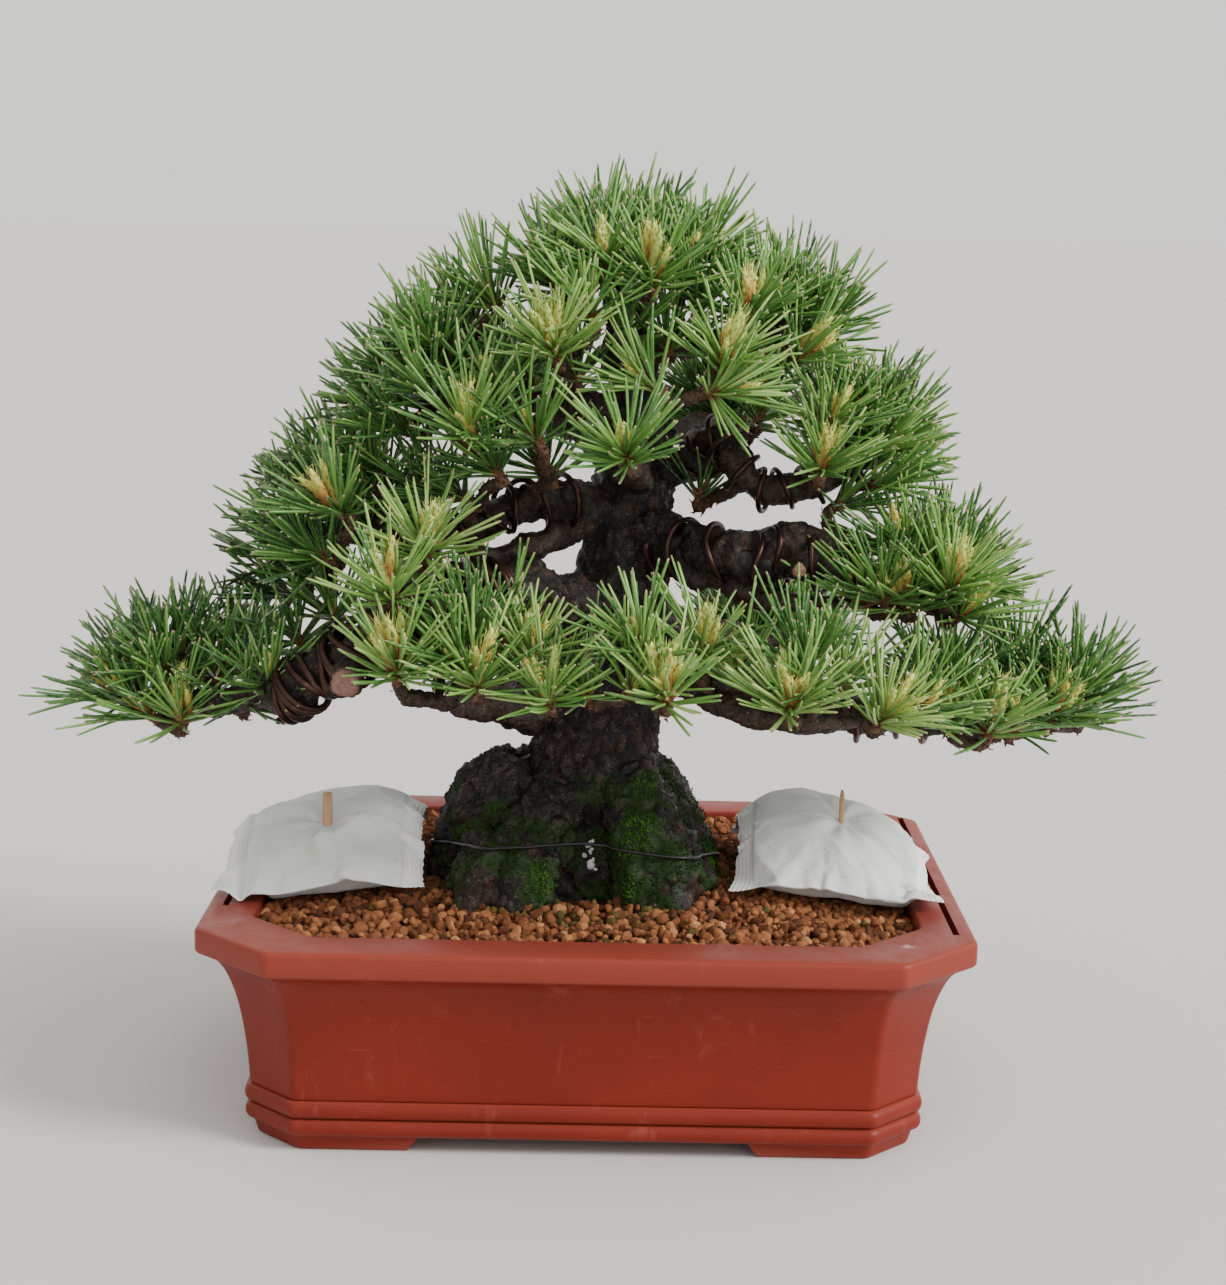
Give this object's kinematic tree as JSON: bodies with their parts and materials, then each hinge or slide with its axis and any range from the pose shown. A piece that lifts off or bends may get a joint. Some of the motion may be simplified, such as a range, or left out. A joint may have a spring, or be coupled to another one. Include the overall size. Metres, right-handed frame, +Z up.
{
  "type": "bonsai tree in a pot",
  "caption": "Wired black pine bonsai with a flared root base and layered needle pads, in a red rectangular pot with cut corners, granular soil and fertiliser sachets.",
  "frame": {"origin": "middle of the whole tree-and-pot footprint, on the floor that the pot stands on", "axes": "+Z up the trunk; +X along the pot's long side, to the right seen from the front; -Y towards the front of the tree"},
  "size_m": [0.472, 0.2876, 0.39],
  "materials": {
    "pot_plastic": "satin",
    "akadama_soil": "matte",
    "bark": "rough",
    "needles": "satin",
    "training_wire": "satin",
    "black_wire": "satin",
    "sachet_fabric": "matte",
    "stick_wood": "matte",
    "drain_mesh_plastic": "matte",
    "clip_wire": "brushed"
  },
  "bodies": {
    "root": {"drain_mesh_left": "drain_mesh_plastic", "drain_mesh_right": "drain_mesh_plastic", "foliage_back_high_left": "needles", "foliage_back_high_right": "needles", "foliage_back_low_left": "needles", "foliage_back_low_right": "needles", "foliage_front_high_left": "needles", "foliage_front_low_left": "needles", "foliage_front_low_middle": "needles", "foliage_front_low_right": "needles", "foliage_front_middle": "needles", "foliage_high_left": "needles", "foliage_high_right": "needles", "foliage_low_left": "needles", "foliage_low_right": "needles", "foliage_low_right_inner": "needles", "foliage_mid_left": "needles", "foliage_mid_right": "needles", "foliage_top": "needles", "foliage_top_right": "needles", "mesh_clip_left": "clip_wire", "mesh_clip_right": "clip_wire", "pot": "pot_plastic", "root_base_wire": "black_wire", "sachet_left": "sachet_fabric", "sachet_right": "sachet_fabric", "sachet_stick_left": "stick_wood", "sachet_stick_right": "stick_wood", "soil": "akadama_soil", "training_wire_high_right": "training_wire", "training_wire_low_left": "training_wire", "training_wire_low_right": "training_wire", "training_wire_mid_left": "training_wire", "training_wire_mid_right": "training_wire", "trunk": "bark"}
  },
  "joints": []
}
